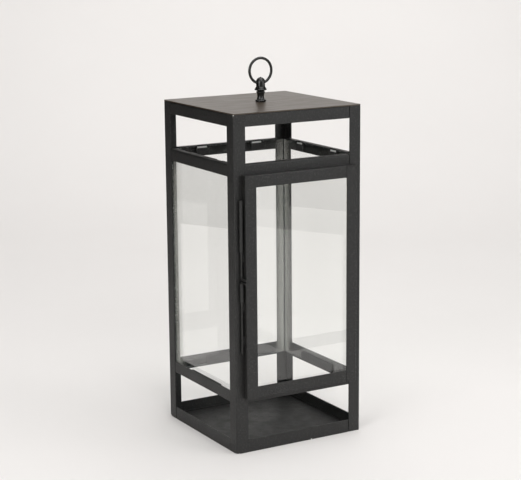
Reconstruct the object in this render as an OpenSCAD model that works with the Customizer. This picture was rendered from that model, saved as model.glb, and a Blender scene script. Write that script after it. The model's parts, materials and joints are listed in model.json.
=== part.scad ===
/* [Frame] */
// Width and depth of the square frame over the corner posts
frame_w = 200; // [160:1:260]
// Height of the frame from the ground to the top plate's upper face
frame_h = 466; // [440:1:560]
// Thickness of the folded steel sheet
sheet_t = 1.5; // [1:0.1:2]
// Width of each leg of a corner post
post_leg = 18; // [14:1:22]
// Outside radius of the bend along a post
post_bend_r = 1.8; // [1.6:0.1:2.4]
// Height of the rails at the very top and at the ground
outer_rail_h = 18; // [14:1:22]
// Height of the rails above and below the windows
window_rail_h = 16.5; // [14:0.5:20]
// Height of the top of the rails above the windows
window_top_z = 398; // [370:1:400]
// Height of the underside of the rails below the windows
window_bottom_z = 70; // [50:1:90]
// Width of the inward flange on a window rail
window_flange = 10; // [9:0.5:12]
// Width of the open line where a rail meets a post
seam_w = 1.4; // [0.4:0.1:2]
// Depth of the open line where a rail meets a post
seam_d = 0.9; // [0.2:0.1:0.9]
// Rise of the trimmed corner at the foot of a post
foot_rise = 2.5; // [0.5:0.1:4]

/* [Windows] */
// Thickness of the glass
glass_t = 2; // [1.5:0.1:3]
// Width of a tab that holds the top of a pane
tab_w = 19; // [14:0.5:22]
// Length of a tab below the top of its rail
tab_drop = 14; // [10:0.5:15]
// Distance from the middle of a rail to the middle of a tab
tab_offset = 45; // [20:1:60]
// Height of the light slot at the root of a tab
tab_slot_h = 2.6; // [1:0.1:4]
// Length of the upright strip that holds the bottom of a pane
strip_len = 84; // [40:1:120]
// Height of the upright strip
strip_h = 13.5; // [10:0.5:24]

/* [Base tray] */
// Thickness of the tray
tray_t = 1.2; // [0.8:0.1:1.8]
// Height of the tray's turned-up edge
tray_lip_h = 3.6; // [2:0.1:8]

/* [Door] */
// Width of the door
door_w = 176; // [120:1:190]
// Height of the underside of the door
door_bottom_z = 78; // [60:1:100]
// Height of the top of the door
door_top_z = 384.5; // [300:0.5:390]
// Width of the door's stiles and rails
door_member_w = 16.5; // [12:0.5:20]
// Depth of the door's folded sides
door_side = 8.6; // [7:0.1:12]
// Thickness of the door's sheet
door_t = 1.2; // [0.8:0.1:1.6]
// Gap between the closed door and the posts
door_gap = 1.1; // [1:0.1:2]
// Distance from the door's face to its pane
door_pane_setback = 4.6; // [4:0.1:5]
// Length of a clip that grips the door's pane
clip_len = 12; // [6:1:20]

/* [Hinges] */
// Outside radius of the hinge sleeves
sleeve_r = 2.75; // [2.5:0.05:3]
// Radius of the hinge pins
pin_r = 1.5; // [1.2:0.05:1.6]
// Radial clearance between a pin and its sleeve
pin_clear = 0.06; // [0.02:0.01:0.1]
// Distance from the door's side to the hinge axis
hinge_side_gap = 3.5; // [3.3:0.1:4.5]
// Height of the lower end of the upper sleeve
upper_sleeve_z = 281; // [260:1:300]
// Length of the upper sleeve
upper_sleeve_len = 70; // [40:1:80]
// Height of the lower end of the lower sleeve
lower_sleeve_z = 212.5; // [180:0.5:215]
// Length of the lower sleeve
lower_sleeve_len = 26; // [16:1:27]
// Height of the upper pin's bent finger
upper_finger_z = 244.8; // [244.6:0.1:250]
// Height of the lower pin's bent finger
lower_finger_z = 240.6; // [240.4:0.1:240.8]
// Length of a bent finger in front of the hinge axis
finger_len = 13.5; // [8:0.5:16]
// Height of the lower end of the lower pin
lower_pin_z = 141.5; // [120:0.5:170]
// Height of a lug that joins a pin to the door
lug_h = 12; // [6:1:16]

/* [Finial and ring] */
// Radius of the finial's head
head_r = 6.2; // [5.5:0.1:7]
// Height of the ring's hole above the plate
ring_hole_z = 26.2; // [25:0.1:27]
// Radius of the ring's hole
ring_hole_r = 2.8; // [2.6:0.05:3]
// Radius of the ring's wire
ring_wire_r = 1.85; // [1.4:0.05:1.9]
// Radius of the ring at the middle of its wire
ring_r = 17.4; // [16:0.1:22]
// Radius of the finial's threaded stud
stud_r = 2.5; // [2:0.1:3]

/* [Hidden] */
$fn = 64;
half = frame_w / 2;
// top of the posts and rails, which the top plate covers
post_h = frame_h - sheet_t;
rail_half = half - post_leg;
window_sill_top = window_bottom_z + window_rail_h;
window_head_bottom = window_top_z - window_rail_h;
// inner edge of a window rail's flange, measured from the middle of the frame
flange_edge = half - window_flange;
rail_bend_r = 2.2;
// reach of the trimmed corner along each leg of a post
foot_reach = 2.5 * foot_rise;
// panes stand between the tabs and strips on one side and the rails' flanges on the other
strip_t = 1.2;
tab_bridge = 1.2;
tab_corner_r = 6;
tab_slot_reach = 2.2;
pane_gap = 0.4;
pane_inner = flange_edge + strip_t + pane_gap;
pane_half_w = pane_inner - 2 * pane_gap;
pane_bottom = window_bottom_z + sheet_t;
pane_top = window_top_z - sheet_t - pane_gap;
// pads behind the tabs
pad_h = 5;
pad_play = 0.05;
tray_gap = 0.2;
tray_half = half - sheet_t - tray_gap;
tray_corner_r = 2;
// door planes, measured along Y
door_back_y = -half - door_gap;
door_front_y = door_back_y - door_side;
door_half = door_w / 2;
door_bend_r = 1.6;
door_seam_w = 0.7;
door_h = door_top_z - door_bottom_z;
opening_half = door_half - door_member_w;
pane_front_y = door_front_y + door_pane_setback;
door_pane_half = door_half - 3 * door_t;
door_pane_margin = 2 * door_t;
clip_t = 0.8;
clip_grip = 6;
clip_play = 0.05;
// hinge axis
hinge_x = -door_half - hinge_side_gap;
hinge_y = -half - sleeve_r;
leaf_t = 0.9;
leaf_len = 8;
lug_t = 2;
pin_end_gap = 1;
// spring leaf inside the door's free side
catch_t = 0.8;
catch_h = 20;
catch_reach = 5;
catch_gap = 0.5;
catch_foot = 4;
catch_z = (door_bottom_z + door_top_z) / 2;
// finial, measured up from the top plate
neck_r = 4.7;
neck_arc_r = 11.7;
neck_z = 8.1;
head_land = 0.3;
dome_z = ring_hole_z + ring_hole_r + head_land;
dome_h = 4.8;
dome_r = (head_r * head_r + dome_h * dome_h) / (2 * dome_h);
stud_len = 9;
washer_t = 1;
washer_r = 6;
nut_t = 4;
nut_r = 4.62;
nut_clear = 0.1;
ring_drop = 0.45;
ring_centre_z = frame_h + ring_hole_z - ring_drop + ring_r;
cut = 1;

paint = [0.13, 0.13, 0.125];
plate_paint = [0.3, 0.28, 0.26];
glass = [0.85, 0.9, 0.88, 0.35];
bare_steel = [0.5, 0.5, 0.5];
pad = [0.9, 0.9, 0.88];

// Places a front-side member on one of the four sides: 0 front, 90 right, 180 back, 270 left
module on_side(turn) { rotate([0, 0, turn]) children(); }

// Folded angle with its outer corner at the origin and its legs along +X and +Y
module angle_section(leg_x, leg_y, t, bend_r) {
  difference() {
    union() {
      translate([bend_r, bend_r]) circle(bend_r);
      translate([bend_r, 0]) square([leg_x - bend_r, t + cut / 2]);
      translate([0, bend_r]) square([t + cut / 2, leg_y - bend_r]);
    }
    translate([t, t]) square([leg_x, leg_y]);
  }
}

// Corner post at the front left, with or without a trimmed corner at its foot
module post(trimmed) {
  diagonal_reach = foot_reach / sqrt(2);
  translate([-half, -half, 0])
    difference() {
      linear_extrude(post_h) angle_section(post_leg, post_leg, sheet_t, post_bend_r);
      if (trimmed)
        rotate([0, 0, 45])
          translate([0, 0, foot_rise])
            rotate([0, atan(foot_rise / diagonal_reach), 0])
              translate([-post_leg, -post_leg, -2 * post_leg]) cube(2 * post_leg);
    }
}

// Open line at one end of a member's outer face, between two heights: side is 1 or -1
module seam(side, reach, face_y, z0, z1, w) {
  translate([side * reach - w, face_y - cut, z0 - cut])
    cube([2 * w, cut + seam_d, z1 - z0 + 2 * cut]);
}

// Folded bar of the given length along X: its face is at y = 0, its flange at z = 0
module folded_bar(len, face_h, flange, t, bend_r) {
  translate([-len / 2, 0, 0])
    rotate([0, 90, 0]) rotate([0, 0, 90])
      linear_extrude(len) angle_section(flange, face_h, t, bend_r);
}

// Rail of the front side with its flange at the bottom
module flange_down_rail(z0, face_h, flange) {
  translate([0, -half, z0]) folded_bar(2 * rail_half, face_h, flange, sheet_t, rail_bend_r);
}

// Rail of the front side with its flange at the top
module flange_up_rail(z1, face_h, flange) {
  translate([0, -half, z1]) mirror([0, 0, 1])
    folded_bar(2 * rail_half, face_h, flange, sheet_t, rail_bend_r);
}

module top_rail(seam_side) {
  difference() {
    flange_up_rail(post_h, outer_rail_h - sheet_t, post_leg);
    seam(seam_side, rail_half, -half, post_h - outer_rail_h, post_h, seam_w);
  }
}

// Tab bent down from the flange, with a slot along its fold
module pane_tab(x) {
  drop = tab_drop - sheet_t;
  translate([x - tab_w / 2, -flange_edge, window_top_z - tab_drop])
    difference() {
      union() {
        translate([0, -strip_t, tab_corner_r]) cube([tab_w, strip_t, drop + sheet_t - tab_corner_r]);
        translate([tab_corner_r, -strip_t, 0]) cube([tab_w - 2 * tab_corner_r, strip_t, tab_corner_r + cut]);
        for (side = [tab_corner_r, tab_w - tab_corner_r])
          translate([side, 0, tab_corner_r]) rotate([90, 0, 0]) cylinder(r = tab_corner_r, h = strip_t);
      }
      translate([tab_bridge, -strip_t - cut, tab_drop - sheet_t - tab_slot_h])
        cube([tab_w - 2 * tab_bridge, strip_t + 2 * cut, tab_slot_h + sheet_t + cut]);
    }
}

// The tab's slot runs on into the flange
module flange_slot(x) {
  translate([x - tab_w / 2 + tab_bridge, -flange_edge - tab_slot_reach, window_top_z - sheet_t - cut])
    cube([tab_w - 2 * tab_bridge, tab_slot_reach + cut, sheet_t + 2 * cut]);
}

module window_head(seam_side, tab_sides) {
  difference() {
    union() {
      flange_up_rail(window_top_z, window_rail_h, window_flange);
      for (side = tab_sides) pane_tab(side * tab_offset);
    }
    seam(seam_side, rail_half, -half, window_head_bottom, window_top_z, seam_w);
    for (side = tab_sides) flange_slot(side * tab_offset);
  }
}

module window_sill(seam_side, with_strip) {
  difference() {
    union() {
      flange_down_rail(window_bottom_z, window_rail_h, window_flange);
      if (with_strip)
        translate([-strip_len / 2, -flange_edge - strip_t, window_bottom_z])
          cube([strip_len, strip_t, strip_h]);
    }
    seam(seam_side, rail_half, -half, window_bottom_z, window_sill_top, seam_w);
  }
}

// Flat bar round the foot of the frame
module bottom_rail(seam_side) {
  difference() {
    translate([-rail_half, -half, 0]) cube([2 * rail_half, sheet_t, outer_rail_h]);
    seam(seam_side, rail_half, -half, 0, outer_rail_h, seam_w);
  }
}

module rounded_plate(half_w, corner_r, t) {
  linear_extrude(t)
    union() {
      square([2 * half_w, 2 * (half_w - corner_r)], center = true);
      square([2 * (half_w - corner_r), 2 * half_w], center = true);
      for (x = [-1, 1], y = [-1, 1])
        translate([x, y] * (half_w - corner_r)) circle(corner_r);
    }
}

module top_plate() {
  color(plate_paint)
    translate([0, 0, post_h])
      difference() {
        rounded_plate(half, post_bend_r, sheet_t);
        translate([0, 0, -cut]) cylinder(r = stud_r + nut_clear, h = sheet_t + 2 * cut);
      }
}

module base_tray() {
  inner = tray_half - tray_t;
  color(paint)
    difference() {
      rounded_plate(tray_half, tray_corner_r, tray_lip_h);
      translate([0, 0, tray_t]) rounded_plate(inner, tray_corner_r - tray_t, tray_lip_h);
    }
}

module window_pane() {
  color(glass)
    translate([-pane_half_w, -pane_inner - glass_t, pane_bottom])
      cube([2 * pane_half_w, glass_t, pane_top - pane_bottom]);
}

// White pads between the tabs and the panes, seen through the tabs' slots
module pane_pads() {
  pad_w = tab_w - 2 * tab_bridge - 2 * pad_play;
  color(pad)
    for (turn = [90, 180, 270], side = [-1, 1])
      on_side(turn)
        translate([side * tab_offset - pad_w / 2, pad_play - pane_inner, pane_top - pad_h])
          cube([pad_w, pane_gap - 2 * pad_play, pad_h]);
}

// Rolled sleeve on a flat leaf that lies on the post behind the door
module hinge_sleeve(z0, len) {
  color(paint)
    translate([hinge_x, hinge_y, z0])
      difference() {
        union() {
          cylinder(r = sleeve_r, h = len);
          translate([0, sleeve_r - leaf_t, 0]) cube([leaf_len, leaf_t, len]);
        }
        translate([0, 0, -cut]) cylinder(r = pin_r + pin_clear, h = len + 2 * cut);
      }
}

// Wire pin between two heights, with a finger bent towards the front
module bent_pin(z0, z1, finger_z) {
  translate([hinge_x, hinge_y, z0]) cylinder(r = pin_r, h = z1 - z0);
  translate([hinge_x, hinge_y, finger_z]) sphere(pin_r);
  translate([hinge_x, hinge_y, finger_z]) rotate([90, 0, 0]) cylinder(r = pin_r, h = finger_len);
}

// Lug between a pin and the door's side
module pin_lug(z0) {
  translate([hinge_x, hinge_y - lug_t / 2, z0]) cube([hinge_side_gap, lug_t, lug_h]);
}

module upper_hinge_pin() {
  color(paint)
    union() {
      bent_pin(upper_finger_z, upper_sleeve_z + upper_sleeve_len - pin_end_gap, upper_finger_z);
      pin_lug(upper_sleeve_z - lug_h - pin_end_gap);
    }
}

module lower_hinge_pin() {
  color(paint)
    union() {
      bent_pin(lower_pin_z, lower_finger_z, lower_finger_z);
      pin_lug(lower_sleeve_z - lug_h - pin_end_gap);
      pin_lug(lower_pin_z + lug_h);
    }
}

// Spring leaf that stands inside the closed door's right side
module door_catch() {
  tongue_x = door_half - door_t - catch_gap - catch_t;
  color(bare_steel)
    translate([0, -half, catch_z - catch_h / 2])
      union() {
        translate([tongue_x + catch_t - catch_foot, -catch_t, 0]) cube([catch_foot, catch_t, catch_h]);
        translate([tongue_x, -catch_reach, 0]) cube([catch_t, catch_reach, catch_h]);
      }
}

// Door side: front sheet, outer side and two ends, open to the back and to the pane
module door_stile() {
  inset = door_t / 2;
  union() {
    linear_extrude(door_h) angle_section(door_member_w, door_side, door_t, door_bend_r);
    for (z = [0, door_h - door_t])
      translate([inset, inset, z]) cube([door_member_w - inset, door_side - inset, door_t]);
  }
}

module door_left_stile() {
  color(paint) translate([-door_half, door_front_y, door_bottom_z]) door_stile();
}

module door_right_stile() {
  color(paint) mirror([1, 0, 0]) translate([-door_half, door_front_y, door_bottom_z]) door_stile();
}

// Door rail with its side downwards, and an open line where it meets the right stile
module door_rail() {
  difference() {
    folded_bar(2 * opening_half, door_member_w, door_side, door_t, door_bend_r);
    seam(1, opening_half, 0, 0, door_member_w, door_seam_w);
  }
}

module door_bottom_rail() {
  color(paint) translate([0, door_front_y, door_bottom_z]) door_rail();
}

module door_top_rail() {
  color(paint) translate([0, door_front_y, door_top_z]) mirror([0, 0, 1]) door_rail();
}

module door_pane() {
  z0 = door_bottom_z + door_pane_margin;
  color(glass)
    translate([-door_pane_half, pane_front_y, z0])
      cube([2 * door_pane_half, glass_t, door_top_z - door_pane_margin - z0]);
}

// Spring clip that grips the pane's edge: its back lies on the side at x = 0
module pane_clip() {
  translate([0, -clip_t - clip_play, -clip_len / 2])
    difference() {
      cube([clip_grip, glass_t + 2 * clip_t + 2 * clip_play, clip_len]);
      translate([clip_t, clip_t, -cut]) cube([clip_grip, glass_t + 2 * clip_play, clip_len + 2 * cut]);
    }
}

module door_pane_clips() {
  spread = door_h / 3;
  mid_z = (door_bottom_z + door_top_z) / 2;
  color(bare_steel)
    for (side = [-1, 1], level = [-1, 1])
      translate([side * (door_half - door_t), pane_front_y, mid_z + level * spread])
        mirror([side > 0 ? 1 : 0, 0, 0]) pane_clip();
}

// Points of an arc in the profile plane
function arc(centre, r, from, to, steps = 10) =
  [for (i = [0:steps]) let (a = from + (to - from) * i / steps) centre + r * [cos(a), sin(a)]];

// Turned outline from the foot to the tip: radius, height above the plate
finial_outline = concat(
  [[0, 0]],
  arc([5.8, 1.7], 1.7, -90, 80),
  arc([neck_r + neck_arc_r, neck_z], neck_arc_r, 202, 158),
  arc([5.2, 13.6], 1, -80, 80, 8),
  [[4.9, 14.8], [5.1, 15.3]],
  arc([7.6, 17.3], 0.9, -75, 60, 8),
  [[6.9, 20.3], [head_r, 21]],
  arc([0, dome_z + dome_h - dome_r], dome_r, asin((dome_r - dome_h) / dome_r), 80),
  [[1, dome_z + dome_h + 0.2], [0.5, dome_z + dome_h + 0.5], [0, dome_z + dome_h + 0.6]]
);

module finial() {
  color(paint)
    translate([0, 0, frame_h])
      difference() {
        union() {
          rotate_extrude() polygon(finial_outline);
          translate([0, 0, -stud_len]) cylinder(r = stud_r, h = stud_len + cut);
        }
        translate([-head_r - cut, 0, ring_hole_z])
          rotate([0, 90, 0]) cylinder(r = ring_hole_r, h = 2 * (head_r + cut));
      }
}

module finial_washer() {
  color(bare_steel)
    translate([0, 0, post_h - washer_t])
      difference() {
        cylinder(r = washer_r, h = washer_t);
        translate([0, 0, -cut]) cylinder(r = stud_r + nut_clear, h = washer_t + 2 * cut);
      }
}

module finial_nut() {
  color(bare_steel)
    translate([0, 0, post_h - washer_t - nut_t])
      difference() {
        cylinder(r = nut_r, h = nut_t, $fn = 6);
        translate([0, 0, -cut]) cylinder(r = stud_r, h = nut_t + 2 * cut);
      }
}

module carry_ring() {
  color(paint)
    translate([0, 0, ring_centre_z])
      rotate([90, 0, 0]) rotate_extrude() translate([ring_r, 0]) circle(ring_wire_r);
}

color(paint) on_side(0) post(true);  // front_left_post
color(paint) on_side(90) post(false);  // front_right_post
color(paint) on_side(180) post(true);  // back_right_post
color(paint) on_side(270) post(true);  // back_left_post
color(paint) on_side(0) top_rail(1);  // front_top_rail
color(paint) on_side(90) top_rail(-1);  // right_top_rail
color(paint) on_side(180) top_rail(1);  // back_top_rail
color(paint) on_side(270) top_rail(-1);  // left_top_rail
color(paint) on_side(0) window_head(1, []);  // front_window_head
color(paint) on_side(90) window_head(-1, [-1, 1]);  // right_window_head
color(paint) on_side(180) window_head(1, [-1, 1]);  // back_window_head
color(paint) on_side(270) window_head(-1, [-1, 1]);  // left_window_head
color(paint) on_side(0) window_sill(1, false);  // front_window_sill
color(paint) on_side(90) window_sill(-1, true);  // right_window_sill
color(paint) on_side(180) window_sill(1, true);  // back_window_sill
color(paint) on_side(270) window_sill(-1, true);  // left_window_sill
color(paint) on_side(0) bottom_rail(1);  // front_bottom_rail
color(paint) on_side(90) bottom_rail(-1);  // right_bottom_rail
color(paint) on_side(180) bottom_rail(1);  // back_bottom_rail
color(paint) on_side(270) bottom_rail(-1);  // left_bottom_rail
top_plate();
base_tray();
on_side(90) window_pane();  // right_pane
on_side(180) window_pane();  // back_pane
on_side(270) window_pane();  // left_pane
pane_pads();
hinge_sleeve(upper_sleeve_z, upper_sleeve_len);  // upper_hinge_sleeve
hinge_sleeve(lower_sleeve_z, lower_sleeve_len);  // lower_hinge_sleeve
door_catch();
finial();
finial_washer();
finial_nut();
carry_ring();
door_left_stile();
door_right_stile();
door_top_rail();
door_bottom_rail();
door_pane();
door_pane_clips();
upper_hinge_pin();
lower_hinge_pin();
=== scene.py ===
import json
import math

import bmesh
import bpy
from mathutils import Matrix, Vector


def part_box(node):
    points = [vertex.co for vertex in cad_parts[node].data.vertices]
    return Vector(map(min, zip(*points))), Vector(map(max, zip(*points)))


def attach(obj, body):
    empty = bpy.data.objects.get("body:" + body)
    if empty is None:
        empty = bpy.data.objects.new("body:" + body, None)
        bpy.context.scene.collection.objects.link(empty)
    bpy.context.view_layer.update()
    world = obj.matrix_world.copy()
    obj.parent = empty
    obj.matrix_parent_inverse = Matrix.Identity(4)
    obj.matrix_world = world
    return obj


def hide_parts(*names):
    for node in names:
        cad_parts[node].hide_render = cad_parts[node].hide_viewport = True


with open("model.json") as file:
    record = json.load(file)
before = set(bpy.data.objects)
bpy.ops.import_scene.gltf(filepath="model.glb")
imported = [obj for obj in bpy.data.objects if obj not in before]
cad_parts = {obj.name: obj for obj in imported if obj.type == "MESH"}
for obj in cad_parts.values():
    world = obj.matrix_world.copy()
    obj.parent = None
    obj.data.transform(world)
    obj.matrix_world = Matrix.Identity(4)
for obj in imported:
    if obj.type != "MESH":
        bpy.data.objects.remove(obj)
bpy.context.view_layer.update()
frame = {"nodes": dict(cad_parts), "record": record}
nodes = frame["nodes"]

# ---------------------------------------------------------------- camera
# Fitted to the lantern's corners in the photo. The yaw is from +Y towards +X and the tilt is from
# level. Lengths are in metres, but the lens and the sensor are in millimetres.
CAMERA_AT = Vector((-1.0679, -1.8369, 0.7142))
CAMERA_YAW = math.radians(30.12)
CAMERA_DOWN = math.radians(11.81)
CAMERA_ROLL = math.radians(-0.49)
CAMERA_LENS = 106.07
CAMERA_SENSOR = 36.0
CAMERA_REACH = 50.0


def make_camera():
    """The photo's own viewpoint, as a level camera turned, tipped and rolled."""
    ahead = Vector((
        math.sin(CAMERA_YAW) * math.cos(CAMERA_DOWN),
        math.cos(CAMERA_YAW) * math.cos(CAMERA_DOWN),
        -math.sin(CAMERA_DOWN),
    ))
    level = Vector((math.cos(CAMERA_YAW), -math.sin(CAMERA_YAW), 0.0))
    upright = level.cross(ahead)
    right = math.cos(CAMERA_ROLL) * level + math.sin(CAMERA_ROLL) * upright
    up = math.cos(CAMERA_ROLL) * upright - math.sin(CAMERA_ROLL) * level
    data = bpy.data.cameras.new("camera")
    data.lens = CAMERA_LENS
    data.sensor_width = CAMERA_SENSOR
    data.clip_end = CAMERA_REACH
    camera = bpy.data.objects.new("camera", data)
    turn = Matrix((right, up, -ahead)).transposed().to_4x4()
    camera.matrix_world = Matrix.Translation(CAMERA_AT) @ turn
    bpy.context.scene.collection.objects.link(camera)
    bpy.context.scene.camera = camera


make_camera()


# ---------------------------------------------------------------- node helpers
class Shader:
    """A material's node tree, with short calls that add and join nodes."""

    def __init__(self, name):
        self.material = bpy.data.materials.new(name)
        self.material.use_nodes = True
        self.tree = self.material.node_tree
        self.tree.nodes.clear()
        self.place = self.tree.nodes.new("ShaderNodeTexCoord").outputs["Object"]

    def put(self, socket, value):
        """Joins value to a socket if it is one itself, or else sets it; None leaves the socket alone."""
        if isinstance(value, bpy.types.NodeSocket):
            self.tree.links.new(value, socket)
        elif value is not None:
            if socket.type == "RGBA" and len(value) == 3:
                value = (*value, 1.0)
            socket.default_value = value

    def node(self, kind, settings=None, **inputs):
        """A new node with its settings and inputs; an underscore in an input's name is a space."""
        n = self.tree.nodes.new(kind)
        for key, value in (settings or {}).items():
            setattr(n, key, value)
        for key, value in inputs.items():
            self.put(n.inputs[key.replace("_", " ")], value)
        return n

    def math(self, operation, *values):
        """The output of a math node on these values."""
        n = self.node("ShaderNodeMath", {"operation": operation})
        for socket, value in zip(n.inputs, values):
            self.put(socket, value)
        return n.outputs[0]

    def noise(self, scale, detail=2.0, rough=0.5, stretch=None):
        """Noise from 0 to 1, with features about 1 / scale metres across."""
        place = self.place
        if stretch:
            scaled = self.node("ShaderNodeVectorMath", {"operation": "MULTIPLY"}, Vector=place)
            self.put(scaled.inputs[1], stretch)
            place = scaled.outputs[0]
        n = self.node("ShaderNodeTexNoise", Vector=place, Scale=scale, Detail=detail, Roughness=rough)
        return n.outputs["Fac"]

    def between(self, value, low, high, to_low=0.0, to_high=1.0):
        """value eased from the range low to high into the range to_low to to_high, and held there."""
        n = self.node("ShaderNodeMapRange", {"interpolation_type": "SMOOTHSTEP", "clamp": True})
        for socket, v in zip(n.inputs, (value, low, high, to_low, to_high)):
            self.put(socket, v)
        return n.outputs[0]

    def blend(self, share, a, b):
        """Colour a where share is 0 and b where it is 1."""
        n = self.node("ShaderNodeMix", {"data_type": "RGBA"})
        self.put(n.inputs[0], share)
        self.put(n.inputs[6], a)
        self.put(n.inputs[7], b)
        return n.outputs[2]

    def mix(self, share, a, b):
        """Shader node a where share is 0 and b where it is 1."""
        n = self.node("ShaderNodeMixShader")
        for socket, value in zip(n.inputs, (share, a.outputs[0], b.outputs[0])):
            self.put(socket, value)
        return n

    def upward(self):
        """How much the surface faces up, from 0 to 1."""
        normal = self.node("ShaderNodeTexCoord").outputs["Normal"]
        split = self.node("ShaderNodeSeparateXYZ", Vector=normal)
        return self.between(split.outputs["Z"], 0.5, 0.95)

    def bump(self, height, distance, strength=1.0, normal=None):
        """A normal that is bumped by height, distance metres deep, on top of another one."""
        n = self.node("ShaderNodeBump", Height=height, Distance=distance, Strength=strength)
        self.put(n.inputs["Normal"], normal)
        return n.outputs[0]

    def finish(self, **inputs):
        """The material, with one Principled shader as its surface."""
        shader = self.node("ShaderNodeBsdfPrincipled", **inputs)
        self.node("ShaderNodeOutputMaterial", Surface=shader.outputs[0])
        return self.material


def near(s, point, radius):
    """1 at a point of the frame, fading to 0 at the radius, with a ragged edge."""
    away = s.node("ShaderNodeVectorMath", {"operation": "DISTANCE"}, Vector=s.place)
    s.put(away.inputs[1], point)
    ragged = s.math("MULTIPLY_ADD", s.noise(900.0, 3.0), 0.8 * radius, -0.4 * radius)
    return s.between(s.math("ADD", away.outputs["Value"], ragged), 0.6 * radius, radius, 1.0, 0.0)


# ---------------------------------------------------------------- materials
# Refractive index of the paint's resin and of the glass alike.
RESIN_OR_GLASS = 1.5
# Colour of the light spots: the primer that shows in a chip, and the same pale tone for a painted
# highlight.
PRIMER_AND_GLINT = (0.62, 0.61, 0.58)
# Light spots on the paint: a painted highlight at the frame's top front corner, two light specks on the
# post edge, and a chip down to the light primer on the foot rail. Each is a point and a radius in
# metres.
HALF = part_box("top_plate")[1].x
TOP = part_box("top_plate")[1].z
CHIPS_AND_GLINT = (
    ((-HALF + 0.0006, -HALF + 0.0006, TOP - 0.002), 0.0009),
    ((HALF - 0.0003, -HALF + 0.0003, 0.356), 0.0009),
    ((HALF - 0.0002, -HALF + 0.0004, 0.3485), 0.0008),
    ((0.0195, -HALF, 0.0008), 0.0011),
)


def black_paint():
    """Satin powder coat with a fine grain, a little dust on what faces up, and a few light spots: chips,
    and a painted highlight at the top front corner.
    """
    s = Shader("black_paint")
    broad = s.noise(14.0, 3.0)
    grain = s.noise(1300.0, 2.0, 0.6)
    speckle = s.noise(430.0, 2.0, 0.7)
    dust = s.math("MULTIPLY", s.upward(), s.between(s.noise(55.0, 5.0, 0.65), 0.35, 0.75))
    colour = s.blend(s.between(broad, 0.35, 0.65), (0.0042, 0.0042, 0.004), (0.0072, 0.007, 0.0065))
    colour = s.blend(s.between(speckle, 0.5, 0.72), colour, (0.028, 0.0275, 0.0255))
    colour = s.blend(s.between(grain, 0.62, 0.75), colour, (0.026, 0.0255, 0.024))
    colour = s.blend(s.math("MULTIPLY", dust, 0.5), colour, (0.026, 0.0245, 0.022))
    # Light spots: chips, and a painted highlight at the frame's top front corner.
    for point, radius in CHIPS_AND_GLINT:
        colour = s.blend(near(s, point, radius), colour, PRIMER_AND_GLINT)
    rough = s.math("MULTIPLY_ADD", dust, 0.18, s.between(broad, 0.3, 0.7, 0.44, 0.54))
    peel = s.bump(speckle, 0.0005, 1.0)
    fine = s.bump(grain, 0.00011, 0.6, peel)
    return s.finish(Base_Color=colour, Roughness=rough, Normal=fine, IOR=RESIN_OR_GLASS)


def gloss_paint():
    """The thinner, glossier black on the turned finial and the ring."""
    s = Shader("gloss_paint")
    broad = s.noise(60.0, 3.0)
    grain = s.noise(900.0, 2.0, 0.6)
    colour = s.blend(s.between(grain, 0.4, 0.75), (0.006, 0.006, 0.0058), (0.014, 0.0135, 0.0125))
    rough = s.between(broad, 0.3, 0.7, 0.2, 0.28)
    fine = s.bump(grain, 0.00008, 0.4)
    return s.finish(Base_Color=colour, Roughness=rough, Normal=fine, IOR=RESIN_OR_GLASS)


def plate_paint():
    """The browner coat of the top plate, smoother than the frame's and faintly streaked."""
    s = Shader("plate_paint")
    streaks = s.noise(24.0, 4.0, 0.6, stretch=(1.0, 6.0, 1.0))
    grain = s.noise(1100.0, 2.0, 0.6)
    colour = s.blend(s.between(streaks, 0.3, 0.7), (0.048, 0.035, 0.024), (0.064, 0.048, 0.033))
    colour = s.blend(s.between(s.noise(420.0, 1.0), 0.74, 0.8), colour, (0.14, 0.135, 0.125))
    rough = s.between(streaks, 0.3, 0.7, 0.33, 0.42)
    fine = s.bump(grain, 0.00006, 0.5, s.bump(s.noise(120.0, 3.0), 0.0002, 0.35))
    return s.finish(Base_Color=colour, Roughness=rough, Normal=fine, IOR=RESIN_OR_GLASS)


# Where a pane's clear middle ends and where the pale veil along its upright edges is full, in metres
# from the lantern's axis, and how much of the view the thinnest and thickest streaks of veil take up.
VEIL_FROM = 0.073
VEIL_FULL = 0.09
VEIL_THIN = 0.2
VEIL_THICK = 0.26


def clear_glass():
    """Clear glass with specks, and a streaky pale veil along its upright edges; lamps shine through it.
    """
    s = Shader("clear_glass")
    split = s.node("ShaderNodeSeparateXYZ", Vector=s.place)
    reach = s.math("MINIMUM", *(s.math("ABSOLUTE", split.outputs[axis]) for axis in ("X", "Y")))
    upright = s.noise(1.0, 3.0, 0.6, stretch=(420.0, 420.0, 9.0))
    streaks = s.between(upright, 0.3, 0.7, VEIL_THIN, VEIL_THICK)
    veil = s.math("MULTIPLY", s.between(reach, VEIL_FROM, VEIL_FULL), streaks)
    specks = s.between(s.noise(700.0, 1.0), 0.77, 0.82)
    glass = s.node(
        "ShaderNodeBsdfPrincipled",
        Base_Color=(0.98, 0.988, 0.98), Roughness=0.0, IOR=RESIN_OR_GLASS, Transmission_Weight=1.0,
    )
    # A pale diffuse layer, for the specks and for the streaky veil along the upright edges.
    dust = s.node("ShaderNodeBsdfPrincipled", Base_Color=(0.6, 0.58, 0.54), Roughness=0.8)
    seen = s.mix(s.math("MAXIMUM", veil, specks), glass, dust)
    through = s.node("ShaderNodeBsdfTransparent", Color=(0.95, 0.97, 0.96))
    lamp_ray = s.node("ShaderNodeLightPath").outputs["Is Shadow Ray"]
    s.node("ShaderNodeOutputMaterial", Surface=s.mix(lamp_ray, seen, through).outputs[0])
    return s.material


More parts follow.
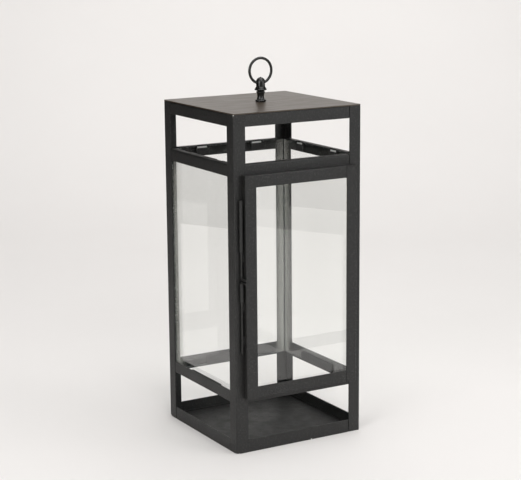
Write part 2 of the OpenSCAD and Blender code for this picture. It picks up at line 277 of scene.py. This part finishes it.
def ground_edge():
    """The grey-green edge of a cut pane, with pale chips and specks along it."""
    s = Shader("ground_edge")
    bite = s.noise(1500.0, 2.0, 0.7)
    specks = s.between(s.noise(330.0, 2.0, 0.6), 0.55, 0.66)
    colour = s.blend(s.between(bite, 0.3, 0.7), (0.06, 0.068, 0.063), (0.13, 0.142, 0.134))
    colour = s.blend(specks, colour, (0.72, 0.74, 0.71))
    rugged = s.bump(bite, 0.0002, 0.8)
    return s.finish(Base_Color=colour, Roughness=0.5, Normal=rugged, IOR=RESIN_OR_GLASS)


def felt_and_painted_glint():
    """Off-white felt pad with a fine fibre; its pale colour also stands in for the glint at each tab
    slot, a painted highlight.
    """
    s = Shader("felt_and_painted_glint")
    fibres = s.noise(2500.0, 3.0, 0.7)
    colour = s.blend(s.between(fibres, 0.3, 0.7), (0.78, 0.78, 0.76), (0.92, 0.92, 0.9))
    return s.finish(Base_Color=colour, Roughness=0.9, Normal=s.bump(fibres, 0.0002, 0.7))


def bare_steel():
    """Dull plated steel, brushed along the upright."""
    s = Shader("bare_steel")
    brushed = s.noise(700.0, 2.0, 0.6, stretch=(1.0, 1.0, 0.08))
    colour = s.blend(brushed, (0.4, 0.4, 0.39), (0.56, 0.56, 0.55))
    rough = s.between(brushed, 0.3, 0.7, 0.28, 0.42)
    fine = s.bump(brushed, 0.00005, 0.5)
    return s.finish(Base_Color=colour, Roughness=rough, Metallic=1.0, Normal=fine)


# The material of each slot, except the panes.
LOOKS = {
    "black_paint": black_paint(),
    "plate_paint": plate_paint(),
    "gloss_paint": gloss_paint(),
    "bare_steel": bare_steel(),
    # The pads' pale felt also stands in for the glint at each tab slot: a painted highlight.
    "pad": felt_and_painted_glint(),
}
# A pane's materials, by the index that its faces carry.
PANE_LOOKS = [clear_glass(), ground_edge()]


# ---------------------------------------------------------------- carried-over CAD nodes
# Vertices closer than this are one, in metres. Edges below SOFT_ANGLE shade smooth, and those above
# SHARP_ANGLE get a narrow bevel.
JOIN_WITHIN = 0.000004
SOFT_ANGLE = math.radians(32)
SHARP_ANGLE = math.radians(40)


def smoothing_nodes():
    """Joins the CAD mesh's split vertices and shades it smooth except across real edges."""
    group = bpy.data.node_groups.new("joined_and_smooth", "GeometryNodeTree")
    group.interface.new_socket("Geometry", in_out="INPUT", socket_type="NodeSocketGeometry")
    group.interface.new_socket("Geometry", in_out="OUTPUT", socket_type="NodeSocketGeometry")
    n, link = group.nodes, group.links.new
    start, end = n.new("NodeGroupInput"), n.new("NodeGroupOutput")
    bare = n.new("GeometryNodeRemoveAttribute")
    bare.inputs["Name"].default_value = "custom_normal"
    merge = n.new("GeometryNodeMergeByDistance")
    merge.inputs["Distance"].default_value = JOIN_WITHIN
    faces = n.new("GeometryNodeSetShadeSmooth")
    faces.domain = "FACE"
    angle = n.new("GeometryNodeInputMeshEdgeAngle")
    soft = n.new("FunctionNodeCompare")
    soft.operation = "LESS_THAN"
    soft.inputs[1].default_value = SOFT_ANGLE
    edges = n.new("GeometryNodeSetShadeSmooth")
    edges.domain = "EDGE"
    link(start.outputs[0], bare.inputs["Geometry"])
    link(bare.outputs[0], merge.inputs["Geometry"])
    link(merge.outputs[0], faces.inputs["Geometry"])
    link(faces.outputs[0], edges.inputs["Geometry"])
    link(angle.outputs["Unsigned Angle"], soft.inputs[0])
    link(soft.outputs[0], edges.inputs["Shade Smooth"])
    link(edges.outputs[0], end.inputs[0])
    return group


SMOOTHING = smoothing_nodes()
# Width of the bevel on the sharp edges of each slot's nodes, in metres.
EDGE = {
    "black_paint": 0.0003,
    "plate_paint": 0.0004,
    "gloss_paint": 0.0002,
    "bare_steel": 0.00012,
    "pad": 0.00005,
}


def dress(node, slot):
    """Gives a CAD node its material and softens its edges."""
    obj = nodes[node]
    obj.data.materials.clear()
    obj.data.materials.append(LOOKS[slot])
    joined = obj.modifiers.new("joined_and_smooth", "NODES")
    joined.node_group = SMOOTHING
    bevel = obj.modifiers.new("soft_edges", "BEVEL")
    bevel.width = EDGE[slot]
    bevel.segments = 2
    bevel.limit_method = "ANGLE"
    bevel.angle_limit = SHARP_ANGLE
    bevel.harden_normals = True


# ---------------------------------------------------------------- panes
# How far the ground arris reaches from every edge of a pane, in metres.
ARRIS = 0.0003


def make_pane(node, body):
    """A pane with two clear faces, and edges and arrises that are ground."""
    low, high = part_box(node)
    size = high - low
    thin = min(range(3), key=lambda axis: size[axis])
    bm = bmesh.new()
    bmesh.ops.create_cube(bm, size=1.0)
    bmesh.ops.scale(bm, vec=size, verts=bm.verts)
    bmesh.ops.translate(bm, vec=(low + high) / 2, verts=bm.verts)
    bmesh.ops.bevel(bm, geom=bm.edges[:], offset=ARRIS, segments=1, profile=0.5, affect="EDGES")
    for face in bm.faces:
        faces_out = abs(face.normal[thin]) > 0.99
        face.material_index = 0 if faces_out else 1
    mesh = bpy.data.meshes.new(node + "_glass")
    bm.to_mesh(mesh)
    bm.free()
    for look in PANE_LOOKS:
        mesh.materials.append(look)
    pane = bpy.data.objects.new(node + "_glass", mesh)
    bpy.context.scene.collection.objects.link(pane)
    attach(pane, body)
    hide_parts(node)


bodies = frame["record"]["behaviour"]["bodies"]
body_of = {node: body for body, members in bodies.items() for node in members}
for part in frame["record"]["subparts"]:
    if part["material_slot"] == "glass":
        make_pane(part["node"], body_of[part["node"]])
    else:
        dress(part["node"], part["material_slot"])


# ---------------------------------------------------------------- studio
# The paper sweep, in metres: its width, its front end and the start of its bend along the camera's
# level direction, the radius of the bend, and the height of its top edge.
SWEEP_WIDTH = 2.72
SWEEP_FRONT = -3.6
SWEEP_BACK = 1.3
SWEEP_BEND = 1.5
SWEEP_HEIGHT = 2.6
SWEEP_STEPS = 24


def make_sweep():
    """A pale floor that bends up into a backdrop, square to the camera."""
    profile = [(SWEEP_FRONT, 0.0)]
    for i in range(SWEEP_STEPS + 1):
        a = math.pi / 2 * i / SWEEP_STEPS
        profile.append((SWEEP_BACK + SWEEP_BEND * math.sin(a), SWEEP_BEND * (1 - math.cos(a))))
    profile.append((SWEEP_BACK + SWEEP_BEND, SWEEP_HEIGHT))
    points = [(side * SWEEP_WIDTH / 2, y, z) for y, z in profile for side in (-1, 1)]
    quads = [(2 * i, 2 * i + 1, 2 * i + 3, 2 * i + 2) for i in range(len(profile) - 1)]
    mesh = bpy.data.meshes.new("sweep")
    mesh.from_pydata(points, [], quads)
    mesh.polygons.foreach_set("use_smooth", [True] * len(mesh.polygons))
    sweep = bpy.data.objects.new("sweep", mesh)
    s = Shader("sweep_paper")
    paper = s.blend(s.noise(3.0, 3.0), (0.80, 0.775, 0.755), (0.83, 0.805, 0.785))
    mesh.materials.append(s.finish(Base_Color=paper, Roughness=0.9))
    sweep.rotation_euler = (0, 0, -CAMERA_YAW)
    bpy.context.scene.collection.objects.link(sweep)


WORLD_STRENGTH = 0.09
# Each lamp: its name, where it stands, what it faces, its side in metres and its power in watts.
LAMPS = (
    ("overhead", (0.3, 0.2, 3.2), (0.3, 0.3, 0.0), 3.6, 50.0),
    ("overhead_front", (0.2, -0.8, 2.8), (0.1, -0.4, 0.0), 2.4, 32.0),
    ("front_right", (2.2, -2.8, 1.2), (0.0, 0.0, 0.3), 2.2, 42.0),
    ("front_high", (-0.6, -3.2, 2.2), (0.0, 0.0, 0.1), 1.6, 40.0),
    ("left_side", (-2.8, -1.4, 1.2), (0.0, 0.0, 0.3), 1.6, 42.0),
    ("backdrop", (0.6, 1.6, 3.0), (1.2, 3.2, 1.2), 2.4, 24.0),
)


def make_lights():
    """Square soft lamps, and a weak even light from the world."""
    for name, at, towards, side, watts in LAMPS:
        data = bpy.data.lights.new(name, "AREA")
        data.shape = "SQUARE"
        data.size = side
        data.energy = watts
        light = bpy.data.objects.new(name, data)
        light.location = at
        light.rotation_euler = (Vector(towards) - Vector(at)).to_track_quat("-Z", "Y").to_euler()
        bpy.context.scene.collection.objects.link(light)
    world = bpy.data.worlds.new("studio")
    world.use_nodes = True
    world.node_tree.nodes["Background"].inputs["Strength"].default_value = WORLD_STRENGTH
    bpy.context.scene.world = world


make_sweep()
make_lights()
bpy.context.scene.view_settings.view_transform = "Standard"
